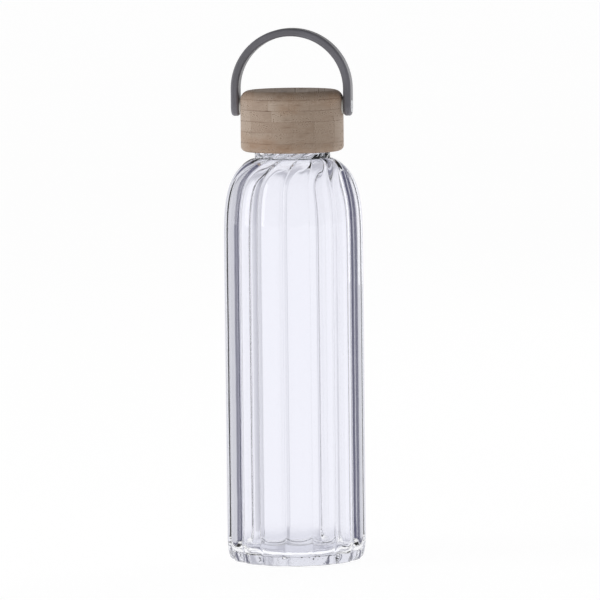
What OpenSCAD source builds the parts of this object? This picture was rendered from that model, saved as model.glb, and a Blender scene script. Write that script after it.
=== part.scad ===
// Ribbed glass water bottle with a bamboo screw lid and a swinging carry handle.
// The bottle stands on z = 0 with its axis on z. The handle's pivots lie on a line along x.

/* [Bottle] */
// Outer diameter over the rib crests
body_d = 65; // [62:0.5:68]
// Height of the bottle's rim above the table
rim_z = 203.7; // [198:0.1:210]
// Number of ribs around the body
rib_count = 16; // [12:1:20]
// Depth of the grooves between the ribs
rib_depth = 1.3; // [0.8:0.1:1.4]
// Turn of the first rib crest from the handle's pivot line
rib_turn = 10.5; // [0:0.5:22]
// Glass thickness from a rib crest to the inside
wall = 2.6; // [2.4:0.1:3.2]
// Glass thickness in the middle of the base
base_t = 5; // [4:0.5:7]

/* [Neck] */
// Outer diameter of the neck between the threads
neck_d = 35.2; // [34.4:0.1:35.6]
// Diameter of the mouth
mouth_d = 30.6; // [28.6:0.1:31]
// Rise of the screw thread in one turn
pitch = 4; // [3.6:0.1:4.4]
// Turns of thread on the glass
thread_turns = 1.5; // [1.25:0.25:1.75]

/* [Lid] */
// Diameter of the bamboo lid
lid_d = 48; // [47.6:0.1:48.6]
// Height of the bamboo lid
lid_h = 28.4; // [27.6:0.1:32]
// Radius of the lid's upper edge
lid_top_r = 4.5; // [3:0.25:6]
// Radius of the lid's lower edge
lid_foot_r = 2.5; // [1:0.25:2.5]

/* [Handle] */
// Width over the handle's legs
handle_w = 56.5; // [56.1:0.1:58]
// Height of the handle's top above the table
handle_top_z = 248.1; // [244:0.1:255]
// Thickness of the handle's band
band_t = 3.7; // [3.2:0.1:3.8]
// Width of the handle's band from front to back
band_w = 9; // [8:0.5:11]
// Radius of the band's edges
band_edge_r = 1.2; // [0.6:0.1:1.4]
// Diameter of the pivot screws' shanks
screw_d = 3; // [2.5:0.1:3.2]

/* [Hidden] */
$fn = 96;
over = 1;

// Bottle outline. The shoulder is a superellipse quadrant and the heel an ellipse quadrant.
body_r = body_d / 2;
neck_r = neck_d / 2;
mouth_r = mouth_d / 2;
shoulder_h = 51.4;
shoulder_z = rim_z - 67.3;
shoulder_power_z = 4.6;
shoulder_power_r = 1.5;
shoulder_step = 5;
heel_h = 10;
heel_in = 2;
foot_w = 6;
foot_r = body_r - heel_in;
punt_r = foot_r - foot_w;
punt_h = 1.6;
rim_edge_r = 0.9;
inner_r = body_r - wall;
inner_heel_h = 9;
inner_heel_in = 8;

// Ribs are circular arcs that meet in sharp grooves.
groove_r = body_r - rib_depth;
groove_half = groove_r * sin(180 / rib_count);
rib_rise = body_r - groove_r * cos(180 / rib_count);
rib_r = (groove_half ^ 2 + rib_rise ^ 2) / (2 * rib_rise);
rib_core_r = groove_r - 3;

// Screw thread. The lid's ridge runs just below the glass ridge.
thread_steps = 32;
thread_fade = 30;
thread_root = 0.5;
glass_ridge_h = 1;
glass_ridge_base = 2;
glass_ridge_crest = 1;
glass_thread_z = rim_z - 9.7;
lid_ridge_h = 1.1;
lid_ridge_base = 1.6;
lid_ridge_crest = 0.8;
lid_ridge_drop = 1.6;
lid_thread_turns = thread_turns - 0.25;

// Lid. The glue gap lies between the bamboo and its liner.
lid_r = lid_d / 2;
lid_z = rim_z - 12.7;
glue_gap = 0.1;
lid_bore_r = neck_r + 3.8;
lid_bore_h = 15.9;
liner_r = lid_bore_r - glue_gap;
liner_inner_r = neck_r + 1.45;
liner_z = lid_z + 0.4;
liner_top_z = lid_z + lid_bore_h - glue_gap;
liner_top_t = 1.6;
seal_gap = 0.05;
seal_z = rim_z + seal_gap;
seal_t = liner_top_z - liner_top_t - seal_gap - seal_z;
seal_outer_r = liner_inner_r - 0.15;
seal_inner_r = mouth_r - 0.5;

// Handle and pivots
handle_r = handle_w / 2;
band_mid_r = handle_r - band_t / 2;
arch_z = handle_top_z - handle_r;
pivot_z = lid_z + 20.8;
spot_face_r = 4;
spot_face_x = lid_r - 0.3;
washer_r = 3.7;
washer_bore_r = screw_d / 2 + 0.1;
washer_gap = 0.12;
washer_t = handle_r - band_t - spot_face_x - washer_gap;
leg_bore_r = screw_d / 2 + 0.07;
screw_head_r = 3;
screw_head_t = 1.1;
head_recess_r = screw_head_r + 0.3;
head_recess_t = screw_head_t + 0.1;
screw_in_wood = 9;
pilot_r = screw_d / 2 + 0.05;
driver_slot = [0.5, 3.4, 0.8];

glass_tint = [0.86, 0.87, 0.93, 0.4];
bamboo_tan = [0.66, 0.54, 0.44];
liner_white = [0.9, 0.9, 0.88];
silicone_clear = [0.85, 0.86, 0.87];
handle_grey = [0.4, 0.4, 0.43];
steel_grey = [0.72, 0.73, 0.75];

// Point on a shoulder curve that falls from side_r to throat_r, for a from 0 to 90
function shoulder_point(a, side_r, throat_r) =
    [throat_r + (side_r - throat_r) * cos(a) ^ (2 / shoulder_power_r),
     shoulder_z + shoulder_h * sin(a) ^ (2 / shoulder_power_z)];

// Point on an upright ellipse quadrant that ends at side_r, for a from 0 to 90
function heel_point(a, side_r, inward, floor_z, height) =
    [side_r - inward * (1 - sin(a)), floor_z + height * (1 - cos(a))];

// Point on an arc of radius r about a centre
function arc_point(centre, r, a) = centre + r * [cos(a), sin(a)];

module glass_outline() {
    polygon(concat(
        [for (i = [0:6]) [punt_r * i / 6, punt_h * (1 - (i / 6) ^ 2)]],
        [for (a = [0:15:90]) heel_point(a, body_r, heel_in, 0, heel_h)],
        [for (a = [0:shoulder_step:90]) shoulder_point(a, body_r, neck_r)],
        [for (a = [0:30:90]) arc_point([neck_r - rim_edge_r, rim_z - rim_edge_r], rim_edge_r, a)],
        [[0, rim_z]]
    ));
}

module glass_hollow() {
    polygon(concat(
        [[0, base_t]],
        [for (a = [0:15:90]) heel_point(a, inner_r, inner_heel_in, base_t, inner_heel_h)],
        [for (a = [0:shoulder_step:90]) shoulder_point(a, inner_r, mouth_r)],
        [for (a = [180:-30:90]) arc_point([mouth_r + rim_edge_r, rim_z - rim_edge_r], rim_edge_r, a)],
        [[mouth_r + rim_edge_r, rim_z + over], [0, rim_z + over]]
    ));
}

// Cross-section of the ribbed body
module rib_section() {
    circle(r = rib_core_r);
    for (i = [0:rib_count - 1])
        rotate(rib_turn + i * 360 / rib_count)
            translate([body_r - rib_r, 0])
                circle(r = rib_r);
}

// Helical ridge from radius foot to radius crest. Its ends fade into the wall over thread_fade degrees.
module thread_ridge(foot, crest, base_w, crest_w, turns, start_z) {
    rings = ceil(turns * thread_steps);
    side = sign(crest - foot);
    points = [for (i = [0:rings])
        let (a = i * 360 * turns / rings,
             grow = min(1, a / thread_fade, (360 * turns - a) / thread_fade),
             reach = max(0.02, grow) * (crest - foot),
             z = start_z + pitch * a / 360,
             deep = foot - side * thread_root)
        for (p = [[deep, -base_w / 2], [deep, base_w / 2],
                  [foot + reach, crest_w / 2], [foot + reach, -crest_w / 2]])
            [p[0] * cos(a), p[0] * sin(a), z + p[1]]];
    faces = concat(
        [side > 0 ? [0, 1, 2, 3] : [3, 2, 1, 0]],
        [for (i = [0:rings - 1], j = [0:3])
            let (p = 4 * i + j, q = 4 * i + (j + 1) % 4)
            each side > 0 ? [[p, p + 4, q], [q, p + 4, q + 4]] : [[q, p + 4, p], [q + 4, p + 4, q]]],
        [side > 0 ? [for (j = [3:-1:0]) 4 * rings + j] : [for (j = [0:3]) 4 * rings + j]]
    );
    polyhedron(points = points, faces = faces);
}

module glass_bottle() {
    color(glass_tint) {
        difference() {
            intersection() {
                rotate_extrude() glass_outline();
                linear_extrude(rim_z + over) rib_section();
            }
            rotate_extrude() glass_hollow();
        }
        thread_ridge(neck_r, neck_r + glass_ridge_h, glass_ridge_base, glass_ridge_crest,
                     thread_turns, glass_thread_z);
    }
}

// Half outline of the lid, rounded at its upper and lower edges
module lid_outline() {
    square([lid_r - lid_top_r, lid_h]);
    square([lid_r - lid_foot_r, lid_h / 2]);
    translate([0, lid_foot_r]) square([lid_r, lid_h - lid_foot_r - lid_top_r]);
    translate([lid_r - lid_top_r, lid_h - lid_top_r]) circle(r = lid_top_r);
    translate([lid_r - lid_foot_r, lid_foot_r]) circle(r = lid_foot_r);
}

// Places its children on one end of the pivot line, with z pointing outward
module at_pivot(side, x) {
    translate([side * x, 0, pivot_z]) rotate([0, side * 90, 0]) children();
}

module bamboo_shell() {
    color(bamboo_tan)
        difference() {
            translate([0, 0, lid_z]) rotate_extrude()
                difference() {
                    lid_outline();
                    translate([0, -over]) square([lid_bore_r, lid_bore_h + over]);
                }
            for (side = [-1, 1]) {
                at_pivot(side, spot_face_x) cylinder(r = spot_face_r, h = over);
                at_pivot(side, spot_face_x - screw_in_wood) cylinder(r = pilot_r, h = screw_in_wood + over);
            }
        }
}

module threaded_liner() {
    color(liner_white) {
        difference() {
            translate([0, 0, liner_z]) cylinder(r = liner_r, h = liner_top_z - liner_z);
            translate([0, 0, liner_z - over])
                cylinder(r = liner_inner_r, h = liner_top_z - liner_top_t - liner_z + over);
        }
        thread_ridge(liner_inner_r, liner_inner_r - lid_ridge_h, lid_ridge_base, lid_ridge_crest,
                     lid_thread_turns, glass_thread_z - lid_ridge_drop);
    }
}

module seal_ring() {
    color(silicone_clear)
        translate([0, 0, seal_z])
            difference() {
                cylinder(r = seal_outer_r, h = seal_t);
                translate([0, 0, -over]) cylinder(r = seal_inner_r, h = seal_t + 2 * over);
            }
}

// Rounded cross-section of the band, thickness along x
module band_section() {
    square([band_t - 2 * band_edge_r, band_w], center = true);
    square([band_t, band_w - 2 * band_edge_r], center = true);
    for (x = [-1, 1], y = [-1, 1])
        translate([x * (band_t / 2 - band_edge_r), y * (band_w / 2 - band_edge_r)])
            circle(r = band_edge_r);
}

module half_band_section() {
    intersection() {
        rotate(90) band_section();
        translate([0, -band_t]) square([band_w, 2 * band_t]);
    }
}

module carry_handle() {
    color(handle_grey)
        difference() {
            union() {
                translate([0, 0, arch_z]) rotate([90, 0, 0])
                    rotate_extrude(angle = 180) translate([band_mid_r, 0]) band_section();
                for (side = [-1, 1])
                    translate([side * band_mid_r, 0, pivot_z]) {
                        linear_extrude(arch_z - pivot_z) band_section();
                        rotate([0, 90, 0]) rotate(-90)
                            rotate_extrude(angle = 180) half_band_section();
                    }
            }
            for (side = [-1, 1]) {
                at_pivot(side, band_mid_r - band_t) cylinder(r = leg_bore_r, h = 2 * band_t);
                at_pivot(side, handle_r - head_recess_t) cylinder(r = head_recess_r, h = band_t);
            }
        }
}

// Pan-head screw with a cross recess, driven into the lid from one side
module pivot_screw(side) {
    color(steel_grey)
        difference() {
            union() {
                at_pivot(side, spot_face_x - screw_in_wood + 0.2)
                    cylinder(d = screw_d, h = handle_r - screw_head_t / 2 - spot_face_x + screw_in_wood - 0.2);
                at_pivot(side, handle_r - screw_head_t) cylinder(r = screw_head_r, h = screw_head_t);
            }
            for (turn = [45, 135])
                at_pivot(side, handle_r) rotate(turn) cube(driver_slot, center = true);
        }
}

module pivot_washer(side) {
    color(liner_white)
        at_pivot(side, spot_face_x)
            difference() {
                cylinder(r = washer_r, h = washer_t);
                translate([0, 0, -over]) cylinder(r = washer_bore_r, h = washer_t + 2 * over);
            }
}

glass_bottle();
bamboo_shell();
threaded_liner();
seal_ring();
carry_handle();
pivot_screw(-1);  // left_pivot_screw
pivot_screw(1);  // right_pivot_screw
pivot_washer(-1);  // left_washer
pivot_washer(1);  // right_washer
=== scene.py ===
"""Looks of a ribbed glass water bottle with a bamboo screw lid and a grey carry handle."""

import math

import bpy
import numpy as np
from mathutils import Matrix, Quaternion, Vector


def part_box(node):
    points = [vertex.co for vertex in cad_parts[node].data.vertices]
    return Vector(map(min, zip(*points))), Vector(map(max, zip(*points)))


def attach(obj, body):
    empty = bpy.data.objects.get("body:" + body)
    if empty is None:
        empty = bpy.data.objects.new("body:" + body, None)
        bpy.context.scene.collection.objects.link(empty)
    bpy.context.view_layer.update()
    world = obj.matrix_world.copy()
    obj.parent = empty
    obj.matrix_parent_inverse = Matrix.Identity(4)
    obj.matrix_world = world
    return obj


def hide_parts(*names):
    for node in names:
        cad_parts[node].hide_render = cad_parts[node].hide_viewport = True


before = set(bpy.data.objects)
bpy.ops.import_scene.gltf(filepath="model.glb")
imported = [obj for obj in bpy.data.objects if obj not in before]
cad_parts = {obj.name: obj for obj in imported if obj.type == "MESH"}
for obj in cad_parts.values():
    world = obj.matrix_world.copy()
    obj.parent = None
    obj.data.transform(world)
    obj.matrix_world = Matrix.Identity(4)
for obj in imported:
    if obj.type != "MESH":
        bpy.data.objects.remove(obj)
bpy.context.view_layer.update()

MM = 0.001
TURN = 2 * math.pi

# ---------------------------------------------------------------- sizes, in metres

RIM_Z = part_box("glass_bottle")[1].z
LID_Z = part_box("bamboo_shell")[0].z

# The bottle's outline
BODY_R = 32.5 * MM
NECK_R = 17.6 * MM
MOUTH_R = 15.3 * MM
WALL = 2.61 * MM
BASE_T = 4 * MM
PUNT_R = 24.5 * MM
PUNT_H = 1.6 * MM
HEEL_H = 10 * MM
HEEL_IN = 2 * MM
INNER_HEEL_R = 6 * MM
INNER_HEEL_H = 6.5 * MM
WALL_LOW = 20 * MM
SHOULDER_DROP = 67.3 * MM
SHOULDER_H = 51.4 * MM
SHOULDER_LEAD = 8 * MM
SHOULDER_POWERS = (1.5, 4.6)
RIM_EDGE = 1.0 * MM

# Its ribs: the outer ones are sharp grooves, the inner ones a faint wave
RIBS = 16
RIB_DEPTH = 1.38 * MM
RIB_POWER = 2.7
RIB_TURN = math.radians(10.68)
RIB_END_SHARE = 0.75
NECK_RIB_H = 4 * MM
INNER_DEPTH = 0.24 * MM
INNER_POWER = 3.2
INNER_HEEL_WAVE = 0.6 * MM
GROOVE_SOFT = 0.056
TWIST = math.radians(26)
TWIST_LOW = 172 * MM
TWIST_H = 18 * MM

# Its screw thread
THREAD_DROP = 9.7 * MM
THREAD_PITCH = 4 * MM
THREAD_TURNS = 1.5
THREAD_H = MM
THREAD_HALF_W = 0.75 * MM
THREAD_ENDS = 12

GLASS_CLEAR = (0.975, 0.975, 0.995, 1)
# Painted shade: the darker lavender that the glass is tinted towards where it is seen at a slant
GLASS_EDGE_SHADE = (0.6, 0.61, 0.68, 1)
GLASS_IOR = 1.47

# The bamboo's glued strips, in millimetres, and the heights over the lid's foot across which painted shade on
# the top fades in
STRIP_T = 5.05
STRIP_W = 9.6
TOP_SHADE_LOW, TOP_SHADE_HIGH = 23.0, 24.5

# The camera: its angles in degrees, its distance, the width that it sees there and the point it aims at
VIEW_TURN = 8.5
VIEW_TILT = 5.5
VIEW_ROLL = -0.635
VIEW_DISTANCE = 2.27
VIEW_WIDTH = 0.28037383
VIEW_RIGHT = 2.78 * MM
VIEW_UP = 121.1 * MM
SENSOR = 36

FLOOR_RADII = (0.5, 2, 8, 40)
FLOOR_COLUMNS = 96

# The light tent. A band is its first and last angle from straight behind and the half-width of its
# soft edges, in degrees, and how much darker it is.
TENT_R = 0.35
TENT_LOW = -0.08
TENT_H = 0.6
TENT_COLUMNS = 128
TENT_LEVEL = 0.92
TENT_BANDS = ((11, 17, 2.5, 0.36), (30, 47, 3, 0.86), (47, 60, 3, 0.3))
TENT_SIDES = 0.36
TENT_SIDES_FROM = (62, 70)
TENT_FADE_FROM = (0.3, 0.55)
TENT_FADE = 0.45


# ---------------------------------------------------------------- shader helpers

class Field:
    """One output socket. Arithmetic on it adds Math nodes."""

    def __init__(self, paint, socket):
        self.paint = paint
        self.socket = socket

    def math(self, operation, *others, clamp=False):
        values = dict(enumerate((self, *others)))
        return self.paint.node("Math", {"operation": operation, "use_clamp": clamp}, values)

    def __add__(self, other):
        return self.math("ADD", other)

    def __sub__(self, other):
        return self.math("SUBTRACT", other)

    def __rsub__(self, other):
        return self.paint.node("Math", {"operation": "SUBTRACT"}, {0: other, 1: self})

    def __mul__(self, other):
        return self.math("MULTIPLY", other)

    def __truediv__(self, other):
        return self.math("DIVIDE", other)

    def floor(self):
        return self.math("FLOOR")

    def fraction(self):
        return self.math("FRACT")

    def absolute(self):
        return self.math("ABSOLUTE")

    def sine(self):
        return self.math("SINE")

    def clamped(self):
        return self.math("ADD", 0.0, clamp=True)

    def smooth(self, low, high):
        """0 below low, 1 above high and an S curve between."""
        settings = {"interpolation_type": "SMOOTHSTEP"}
        return self.paint.node("MapRange", settings, {"Value": self, "From Min": low, "From Max": high})


class Paint:
    """A node material with short calls for the nodes it uses."""

    def __init__(self, name, tree=None):
        if tree is None:
            self.material = bpy.data.materials.new(name)
            self.material.use_nodes = True
            tree = self.material.node_tree
        self.tree = tree
        tree.nodes.clear()

    def node(self, kind, settings=None, inputs=None, output=0):
        """Adds a node: its settings first, then values or links for its sockets."""
        made = self.tree.nodes.new("ShaderNode" + kind)
        for key, value in (settings or {}).items():
            setattr(made, key, value)
        for key, value in (inputs or {}).items():
            socket = self.find(made.inputs, key)
            if isinstance(value, Field):
                self.tree.links.new(value.socket, socket)
            else:
                socket.default_value = value
        return Field(self, self.find(made.outputs, output))

    @staticmethod
    def find(sockets, key):
        """A socket by number, by identifier or by name."""
        if isinstance(key, int):
            return sockets[key]
        for socket in sockets:
            if socket.identifier == key:
                return socket
        return sockets[key]

    def place(self):
        """Object coordinates, in metres in the row frame."""
        return self.node("TexCoord", output="Object")

    def axes(self, vector):
        """The x, y and z of a vector."""
        made = self.node("SeparateXYZ", inputs={0: vector})
        return [Field(self, socket) for socket in made.socket.node.outputs]

    def vector(self, x, y, z):
        return self.node("CombineXYZ", inputs={0: x, 1: y, 2: z})

    def noise(self, vector, scale, detail=2.0, roughness=0.5):
        inputs = {"Vector": vector, "Scale": scale, "Detail": detail, "Roughness": roughness}
        return self.node("TexNoise", inputs=inputs)

    def blend(self, share, first, second):
        """Colour between first and second by share."""
        settings = {"data_type": "RGBA"}
        inputs = {"Factor_Float": share, "A_Color": first, "B_Color": second}
        return self.node("Mix", settings, inputs, "Result_Color")

    def bump(self, height, distance, strength=1.0):
        inputs = {"Height": height, "Distance": distance, "Strength": strength}
        return self.node("Bump", inputs=inputs)

    def finish(self, shader):
        """Ends the material in a Principled shader with these sockets."""
        self.end("OutputMaterial", self.node("BsdfPrincipled", inputs=shader))
        return self.material

    def end(self, kind, surface):
        """Links a surface to a new output node."""
        out = self.tree.nodes.new("ShaderNode" + kind)
        self.tree.links.new(surface.socket, out.inputs["Surface"])


def rgb(red, green, blue):
    """A display colour of 0 to 255 per channel as the linear colour that a shader takes."""
    share = np.array([red, green, blue]) / 255
    linear = np.where(share > 0.04045, ((share + 0.055) / 1.055) ** 2.4, share / 12.92)
    return (*linear.tolist(), 1.0)


# ---------------------------------------------------------------- mesh helpers

def grid_faces(rows, columns):
    """Vertex numbers of a grid whose columns close on themselves, and its four-cornered faces.

    Rows run along the profile and columns counter-clockwise round it.
    """
    index = np.arange(rows * columns).reshape(rows, columns)
    right = np.roll(index, -1, axis=1)
    quads = np.stack([index[:-1], right[:-1], right[1:], index[1:]], axis=-1).reshape(-1, 4)
    return index, quads.tolist()


def add_mesh(name, vertices, faces, material):
    """An object of these vertices and faces in this material."""
    mesh = bpy.data.meshes.new(name)
    mesh.from_pydata(vertices.tolist(), [], faces)
    mesh.materials.append(material)
    made = bpy.data.objects.new(name, mesh)
    bpy.context.scene.collection.objects.link(made)
    return made


def surface(name, points, body, slot, material):
    """A smooth piece from a grid of points, rows by columns.

    The first and the last row are each closed with a fan to the mean of their points.
    """
    rows, columns, _ = points.shape
    index, faces = grid_faces(rows, columns)
    right = np.roll(index, -1, axis=1)
    start = rows * columns
    vertices = np.vstack([points.reshape(-1, 3), points[0].mean(axis=0), points[-1].mean(axis=0)])
    faces += np.stack([np.full(columns, start), right[0], index[0]], axis=-1).tolist()
    faces += np.stack([np.full(columns, start + 1), index[-1], right[-1]], axis=-1).tolist()
    piece = add_mesh(name, vertices, faces, material)
    piece.data.polygons.foreach_set("use_smooth", np.ones(len(faces), bool))
    piece.data.update()
    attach(piece, body)
    return piece


def repaint(node, material):
    """A CAD node keeps its mesh and gets this material."""
    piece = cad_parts[node]
    for place in piece.material_slots:
        place.material = material


# ---------------------------------------------------------------- glass

def rib_drop(angle, power):
    """How far the glass lies below the rib crests at an angle, from 0 at a crest to 1 in a groove.

    With t running from 0 at the crest to 1 in the groove, the drop is t to a power, and t is eased
    near 1 by a hyperbola, so that the groove has a small round floor.
    """
    half = math.pi / RIBS
    local = (angle + half) % (2 * half) - half
    from_groove = 1 - np.abs(local) / half
    eased = 1 + GROOVE_SOFT - np.sqrt(from_groove ** 2 + GROOVE_SOFT ** 2)
    return eased.clip(0) ** power


def quadrant(start, end, power_r, power_z, count):
    """Superellipse quadrant from start to end, upright at start and level at end."""
    a = np.linspace(0, math.pi / 2, count)
    r = end[0] + (start[0] - end[0]) * np.cos(a).clip(0) ** (2 / power_r)
    z = start[1] + (end[1] - start[1]) * np.sin(a).clip(0) ** (2 / power_z)
    return np.stack([r, z], axis=1)


def upright(radius, start, end, count):
    """Points (radius, height) straight up or down at one radius."""
    return np.stack([np.full(count, radius), np.linspace(start, end, count)], axis=1)


def glass_profile():
    """Rows of (radius, height, rib depth, inside share) from under the base over the rim to the floor inside.

    The heels are parts of ellipses, and the shoulder is a superellipse quadrant inside and out. The
    outer ribs are RIB_DEPTH deep on the body, RIB_END_SHARE of that at the foot and at the neck, and
    gone a little way up the neck. The inner wave fades out up the shoulder and over the inner heel.
    """
    shoulder_z = RIM_Z - SHOULDER_DROP
    neck_z = shoulder_z + SHOULDER_H
    wall_high = shoulder_z - SHOULDER_LEAD
    inner_r = BODY_R - WALL
    floor_r = inner_r - INNER_HEEL_R
    rows = []

    def add(points, depth, inside):
        depths = np.broadcast_to(depth, len(points))
        rows.append(np.column_stack([points, depths, np.full(len(points), inside)]))

    # Outside, upwards
    punt = np.linspace(0.06, 1, 7)
    add(np.stack([PUNT_R * punt, PUNT_H * (1 - punt ** 2)], axis=1), 0, 0)
    a = np.linspace(0, math.pi / 2, 16)
    heel = np.stack([BODY_R - HEEL_IN * (1 - np.sin(a)), HEEL_H * (1 - np.cos(a))], axis=1)
    add(heel, RIB_DEPTH * (RIB_END_SHARE + (1 - RIB_END_SHARE) * np.sin(a)), 0)
    add(upright(BODY_R, WALL_LOW, wall_high, 6), RIB_DEPTH, 0)
    shoulder = quadrant((BODY_R, shoulder_z), (NECK_R, neck_z), *SHOULDER_POWERS, 56)
    fade = RIB_END_SHARE + (1 - RIB_END_SHARE) * (shoulder[:, 0] - NECK_R) / (BODY_R - NECK_R)
    add(shoulder, RIB_DEPTH * fade, 0)
    neck = upright(NECK_R, neck_z + 0.4 * MM, RIM_Z - 1.4 * MM, 56)
    neck_fade = 1 - np.clip((neck[:, 1] - neck_z - NECK_RIB_H) / NECK_RIB_H, 0, 1)
    add(neck, RIB_DEPTH * (RIB_END_SHARE * neck_fade), 0)

    # The rim's two rounded edges
    a = np.linspace(0, math.pi / 2, 6)
    edge_z = RIM_Z - RIM_EDGE
    add(np.stack([NECK_R - RIM_EDGE + RIM_EDGE * np.cos(a), edge_z + RIM_EDGE * np.sin(a)], axis=1), 0, 0)
    add(np.stack([MOUTH_R + RIM_EDGE - RIM_EDGE * np.sin(a), edge_z + RIM_EDGE * np.cos(a)], axis=1), 0, 1)

    # Inside, downwards
    add(upright(MOUTH_R, RIM_Z - 3 * MM, neck_z + 3 * MM, 4), 0, 1)
    inner = quadrant((inner_r, shoulder_z), (MOUTH_R, neck_z), *SHOULDER_POWERS, 44)[::-1]
    inner_fade = (inner[:, 0] - MOUTH_R) / (inner_r - MOUTH_R)
    add(inner, INNER_DEPTH * inner_fade, 1)
    add(upright(inner_r, wall_high, WALL_LOW, 5), INNER_DEPTH, 1)
    a = np.linspace(math.pi / 2, 0, 14)
    heel_in = np.stack([floor_r + INNER_HEEL_R * np.sin(a),
                        BASE_T + INNER_HEEL_H * (1 - np.cos(a))], axis=1)
    add(heel_in, INNER_DEPTH * np.sin(a) + INNER_HEEL_WAVE * np.sin(2 * a), 1)
    add(np.stack([floor_r * np.array([0.8, 0.5, 0.2, 0.05]), np.full(4, BASE_T)], axis=1), 0, 1)
    return np.vstack(rows)


def twist(height):
    """Turn of the ribs at a height: none on the body, then with the cube of the height above TWIST_LOW."""
    rise = np.clip((height - TWIST_LOW) / TWIST_H, 0, None)
    return TWIST * rise ** 3


def thread_bead(angle, z):
    """How far the screw thread stands out: a rounded bead round a helix, tapered at both of its ends.

    The nearest lap of the helix is found at each point. The bead's height falls with the fourth
    power of the distance from that lap, in an exponential.
    """
    share = (angle % TURN) / TURN
    turns = (z - (RIM_Z - THREAD_DROP)) / THREAD_PITCH - share
    lap = np.round(turns)
    along = share + lap
    off = (turns - lap) * THREAD_PITCH
    grow = np.clip(np.minimum(along, THREAD_TURNS - along) * THREAD_ENDS, 0, 1)
    return THREAD_H * grow * np.exp(-(off / THREAD_HALF_W) ** 4)


def make_glass(material):
    """The bottle: radius is the profile's less its rib depth times the rib curve, plus the screw thread.

    Round the bottle the points crowd at the grooves, by the sine of even steps across each rib.
    """
    profile = glass_profile()
    per_rib = 26
    step = np.sin(np.linspace(-1, 1, per_rib, endpoint=False) * math.pi / 2)
    around = (np.arange(RIBS)[:, None] * 2 + step[None, :]).ravel() * math.pi / RIBS
    r, z, depth, inside = (profile[:, k, None] for k in range(4))
    drop = np.where(inside > 0, rib_drop(around, INNER_POWER), rib_drop(around, RIB_POWER))
    angle = around[None, :] + RIB_TURN + twist(z)
    radius = r - depth * drop + np.where(inside > 0, 0, thread_bead(angle, z))
    points = np.stack(np.broadcast_arrays(radius * np.cos(angle), radius * np.sin(angle), z), axis=-1)
    piece = surface("ribbed_glass", points, "bottle", "glass", material)
    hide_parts("glass_bottle")
    return piece


def glass_paint():
    """Clear glass with a lavender tint that deepens in the base and ripples there, and painted shade that
    deepens the tint towards its edges, where the glass is seen at a slant.
    """
    paint = Paint("clear_glass")
    place = paint.place()
    wave = paint.noise(place, 45.0, 1.0)
    film = paint.noise(place, 120.0, 4.0)
    z = paint.axes(place)[2]
    low_down = 1 - z.smooth(4 * MM, 12 * MM)
    ripple = paint.noise(place, 260.0, 2.0)
    # Painted shade: where the glass is seen at a slant, at its outline and on the groove walls, its tint
    # darkens
    edge_shade = paint.node("LayerWeight", inputs={"Blend": 0.5}, output="Facing").smooth(0.45, 1.0)
    return paint.finish({
        "Base Color": paint.blend((edge_shade + low_down * 0.4).clamped(), GLASS_CLEAR, GLASS_EDGE_SHADE),
        "Transmission Weight": 1.0,
        "IOR": GLASS_IOR,
        "Roughness": film.smooth(0.55, 0.9) * 0.03,
        "Normal": paint.bump(wave + ripple * low_down * 3.0, 0.3 * MM, 0.2),
    })


# ---------------------------------------------------------------- lid

def scatter(value):
    """A number from 0 to 1 for each whole number: the fraction of a very steep sine."""
    return ((value * 12.9898).sine() * 43758.5453).fraction()


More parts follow.
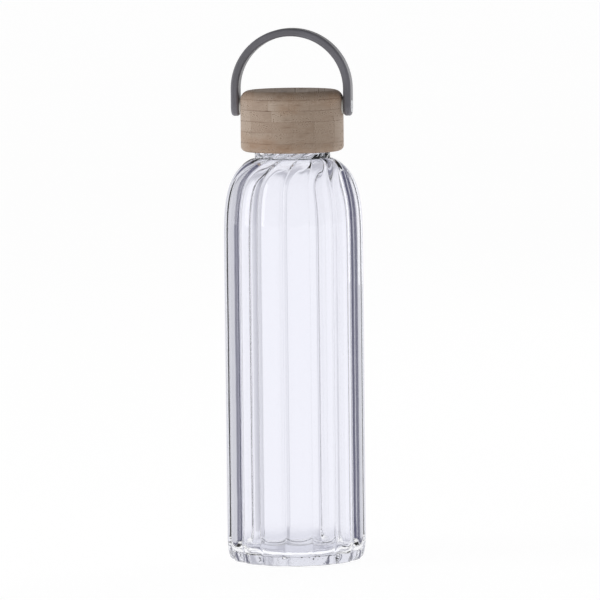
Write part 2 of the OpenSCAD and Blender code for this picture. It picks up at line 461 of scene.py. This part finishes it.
def bamboo_paint():
    """Glued strips of bamboo that run from front to back, STRIP_T thick and STRIP_W wide.

    Each strip has its own tone. Painted shade makes the lid's right side a little darker, and also
    the top, where it pulls the strip tones towards their darker end. A cut end is dotted with fibre
    bundles, some of which are drawn out into short dashes. The same field seen from the side shows
    as long straight grain. Glue lines between the layers are broken and faint.
    """
    paint = Paint("laminated_bamboo")
    x, y, z = paint.axes(paint.place())
    turn = math.radians(VIEW_TURN)
    across = (x * math.cos(turn) + y * math.sin(turn)) / MM
    along = (y * math.cos(turn) - x * math.sin(turn)) / MM
    up = (z - LID_Z) / MM
    sway = paint.noise(paint.vector(across * 0.09, up * 0.02, along * 0.02), 1.0, 2.0) - 0.5
    level = (up + sway * 0.5 + 0.4) / STRIP_T
    layer = level.floor()
    row = scatter(layer + 3.0)
    place = across / STRIP_W + row * 0.3 + 0.86
    column = place.floor()
    # Painted shade on the lid's top: from these heights up the strip tones are pulled towards their darker
    # end
    top_shade = up.smooth(TOP_SHADE_LOW, TOP_SHADE_HIGH)
    tone = scatter(layer * 7.0 + column * 3.0 + 2.0) * (1 - top_shade * 0.7)
    glue = 1 - ((0.5 - (level.fraction() - 0.5).absolute()) * STRIP_T).smooth(0.04, 0.34)
    faint = paint.noise(paint.vector(across * 0.12 + 20, layer * 3.3, along * 0.02), 1.0, 1.0)
    glue = glue * faint.smooth(0.38, 0.62)
    joint = 1 - ((0.5 - (place.fraction() - 0.5).absolute()) * STRIP_W).smooth(0.02, 0.26)
    cells = paint.vector(across + tone * 9, up * 1.4, along * 0.04)
    bundle = paint.node("TexVoronoi", {"voronoi_dimensions": "2D"}, {"Vector": cells, "Scale": 0.78},
                        "Distance")
    patch = paint.noise(paint.vector(across * 0.13 + tone * 5, up * 0.3, along * 0.01), 1.0, 2.0)
    dots = (1 - bundle.smooth(0.08, 0.4)) * patch.smooth(0.4, 0.6)
    drawn = paint.noise(paint.vector(across * 0.2, up * 2.6, along * 0.02 + tone * 4), 1.0, 2.0)
    dashes = drawn.smooth(0.6, 0.7) * patch.smooth(0.5, 0.38)
    streaks = paint.noise(paint.vector(across * 0.5, up * 5.5, along * 0.03), 1.0, 4.0)
    flecks = (1 - bundle.smooth(0.3, 0.62)) * patch.smooth(0.36, 0.56) - dots
    blush = paint.noise(paint.vector(across * 0.06, up * 0.09, along * 0.02), 1.0, 1.0).smooth(0.45, 0.7)
    wood = paint.blend(tone, rgb(175, 153, 136), rgb(197, 179, 163))
    wood = paint.blend(blush * 0.6, wood, rgb(172, 138, 112))
    # Painted shade: the right side of the lid is blended a little darker
    wood = paint.blend(across.smooth(-11.0, -3.0) * 0.24, wood, rgb(150, 124, 100))
    wood = paint.blend(streaks.smooth(0.3, 0.75) * 0.3, wood, rgb(150, 126, 106))
    wood = paint.blend(flecks * 0.42, wood, rgb(218, 200, 182))
    marks = (dots * 0.6 + dashes * 0.5 + glue * (row * 0.4 + 0.25) + joint * (tone * 0.2 + 0.06)).clamped()
    return paint.finish({
        "Base Color": paint.blend(marks, wood, rgb(112, 88, 70)),
        "Roughness": streaks * 0.14 + dots * 0.1 + 0.5,
        "Specular IOR Level": 0.25,
        "Normal": paint.bump(streaks * 0.5 - glue - dashes * 0.6 - dots * 0.5, 0.08 * MM, 0.7),
    })


def handle_paint():
    """Soft-touch moulded plastic: fine pebbling, faint flow marks and rubbed, shinier spots."""
    paint = Paint("grey_moulded_plastic")
    place = paint.place()
    pebble = paint.noise(place, 2600.0, 2.0)
    flow = paint.noise(place, 70.0, 3.0)
    rubbed = paint.noise(place, 180.0, 4.0).smooth(0.5, 0.8)
    colour = paint.blend(flow.smooth(0.3, 0.7), rgb(112, 111, 117), rgb(124, 123, 131))
    return paint.finish({
        "Base Color": paint.blend(pebble * 0.25, colour, rgb(98, 96, 103)),
        "Roughness": 0.38 - rubbed * 0.08 + pebble * 0.06,
        "Normal": paint.bump(pebble, 0.015 * MM, 0.5),
    })


def plain_paint(name, colour, roughness, metallic=0.0, glow=0.0):
    """Fine grained plastic or metal. A glow stands for light that soaks through a milky plastic."""
    paint = Paint(name)
    grain = paint.noise(paint.place(), 900.0, 3.0)
    dark = tuple(0.85 * c for c in colour[:3]) + (1,)
    return paint.finish({
        "Base Color": paint.blend(grain, dark, colour),
        "Roughness": grain * 0.1 + roughness,
        "Metallic": metallic,
        "Emission Color": paint.blend(grain, dark, colour),
        "Emission Strength": glow,
        "Normal": paint.bump(grain, 0.02 * MM, 0.3),
    })


# ---------------------------------------------------------------- studio

def make_camera():
    """A long lens a little above the bottle and to its right, rolled by a fraction of a degree."""
    data = bpy.data.cameras.new("camera")
    camera = bpy.data.objects.new("camera", data)
    bpy.context.scene.collection.objects.link(camera)
    azimuth, elevation = math.radians(VIEW_TURN), math.radians(VIEW_TILT)
    data.sensor_width = SENSOR
    data.lens = SENSOR * VIEW_DISTANCE / VIEW_WIDTH
    back = Vector((math.sin(azimuth) * math.cos(elevation), -math.cos(azimuth) * math.cos(elevation),
                   math.sin(elevation)))
    right = Vector((math.cos(azimuth), math.sin(azimuth), 0))
    aim = right * VIEW_RIGHT + Vector((0, 0, VIEW_UP))
    camera.location = aim + back * VIEW_DISTANCE
    camera.rotation_mode = "QUATERNION"
    roll = Quaternion((0, 0, 1), math.radians(VIEW_ROLL))
    camera.rotation_quaternion = back.to_track_quat("Z", "Y") @ roll
    data.clip_start, data.clip_end = 0.05, 200
    bpy.context.scene.camera = camera


def make_floor():
    """A wide pale floor. Light through the glass sees the light tent instead, which reaches below it."""
    paint = Paint("pale_floor")
    cloud = paint.noise(paint.place(), 3.0)
    material = paint.finish({
        "Base Color": paint.blend(cloud, (0.14, 0.14, 0.14, 1), (0.16, 0.16, 0.16, 1)),
        "Roughness": 0.9,
        "Specular IOR Level": 0.1,
        "Emission Color": (1, 1, 1, 1),
        "Emission Strength": 0.93,
    })
    a = np.linspace(0, TURN, FLOOR_COLUMNS, endpoint=False)
    radii = np.array(FLOOR_RADII[::-1])[:, None]
    points = np.stack(np.broadcast_arrays(radii * np.cos(a), radii * np.sin(a), 0.0), axis=-1)
    index, faces = grid_faces(len(FLOOR_RADII), FLOOR_COLUMNS)
    floor = add_mesh("floor", points.reshape(-1, 3), faces + [index[-1].tolist()], material)
    floor.visible_transmission = False


def make_world():
    """White surroundings, brighter behind and to the left and dimmer overhead."""
    world = bpy.data.worlds.new("studio")
    bpy.context.scene.world = world
    world.use_nodes = True
    paint = Paint("studio", world.node_tree)
    x, y, z = paint.axes(paint.node("TexCoord", output="Generated"))
    round_about = y * 0.3 - x * 0.16 + 0.64
    height = z.smooth(0.05, 0.6)
    strength = round_about * (1 - height * 0.7)
    background = paint.node("Background", inputs={"Color": (1, 1, 1, 1), "Strength": strength})
    paint.end("OutputWorld", background)


def softbox(name, place, aim, width, height, power):
    """A rectangular lamp at a place that faces the point it aims at."""
    data = bpy.data.lights.new(name, "AREA")
    data.shape = "RECTANGLE"
    data.size, data.size_y = width, height
    data.energy = power
    light = bpy.data.objects.new(name, data)
    light.location = place
    light.rotation_mode = "QUATERNION"
    light.rotation_quaternion = (Vector(place) - Vector(aim)).to_track_quat("Z", "Y")
    bpy.context.scene.collection.objects.link(light)


def light_tent_profile():
    """Rows of (radius, height): a bottom, an upright wall and a roof, all at TENT_R or less."""
    inwards = np.array([0.6, 0.2, 0.01])
    bottom = np.stack([TENT_R * inwards[::-1], np.full(3, TENT_LOW)], axis=1)
    roof = np.stack([TENT_R * inwards, np.full(3, TENT_H)], axis=1)
    return np.vstack([bottom, upright(TENT_R, TENT_LOW, TENT_H, 10), roof])


def make_light_tent():
    """A closed white tent round the bottle that only the light through the glass sees.

    Its brightness changes with the angle from straight behind, to both sides alike: it is lower in
    each of TENT_BANDS and higher at the sides and in front. It also falls with height.
    """
    paint = Paint("light_tent")
    x, y, z = paint.axes(paint.place())
    off = (x.math("ARCTAN2", y) + math.radians(VIEW_TURN)).absolute()
    level = TENT_LEVEL
    brightest = TENT_LEVEL + TENT_SIDES

    def past(low, high):
        return off.smooth(math.radians(low), math.radians(high))

    for low, high, soft, dim in TENT_BANDS:
        level = level - past(low - soft, low + soft) * (1 - past(high - soft, high + soft)) * dim
    level = level + past(*TENT_SIDES_FROM) * TENT_SIDES
    level = (level * (1 - z.smooth(*TENT_FADE_FROM) * TENT_FADE) / brightest).clamped()
    material = paint.finish({
        "Base Color": (0, 0, 0, 1),
        "Roughness": 1.0,
        "Specular IOR Level": 0.0,
        "Emission Color": paint.blend(level, (0.02, 0.02, 0.07, 1), (0.965, 0.97, 1, 1)),
        "Emission Strength": brightest,
    })
    a = np.linspace(0, TURN, TENT_COLUMNS, endpoint=False)
    r, height = (light_tent_profile()[:, k, None] for k in range(2))
    points = np.stack(np.broadcast_arrays(r * np.cos(a), r * np.sin(a), height), axis=-1)
    tent = add_mesh("card_tent", points.reshape(-1, 3), grid_faces(len(r), len(a))[1], material)
    for ray in ("camera", "diffuse", "shadow", "glossy"):
        setattr(tent, "visible_" + ray, False)


# ---------------------------------------------------------------- the scene

make_camera()
make_floor()
make_light_tent()
make_world()
softbox("left_box", (-1.25, -0.5, 0.6), (0, 0, 0.15), 0.7, 1.0, 4.5)
softbox("right_box", (0.8, 1.1, 0.35), (0, 0, 0.2), 0.5, 1.0, 2.6)
bpy.context.scene.view_settings.view_transform = "Standard"

make_glass(glass_paint())
repaint("bamboo_shell", bamboo_paint())
repaint("threaded_liner", plain_paint("liner_plastic", rgb(228, 229, 232), 0.4, glow=0.5))
repaint("carry_handle", handle_paint())
repaint("seal_ring", plain_paint("silicone", rgb(215, 218, 222), 0.35))
for node in ("left_washer", "right_washer"):
    repaint(node, plain_paint("washer_plastic", rgb(225, 225, 220), 0.4))
for node in ("left_pivot_screw", "right_pivot_screw"):
    repaint(node, plain_paint("screw_steel", rgb(190, 192, 196), 0.3, 1.0))
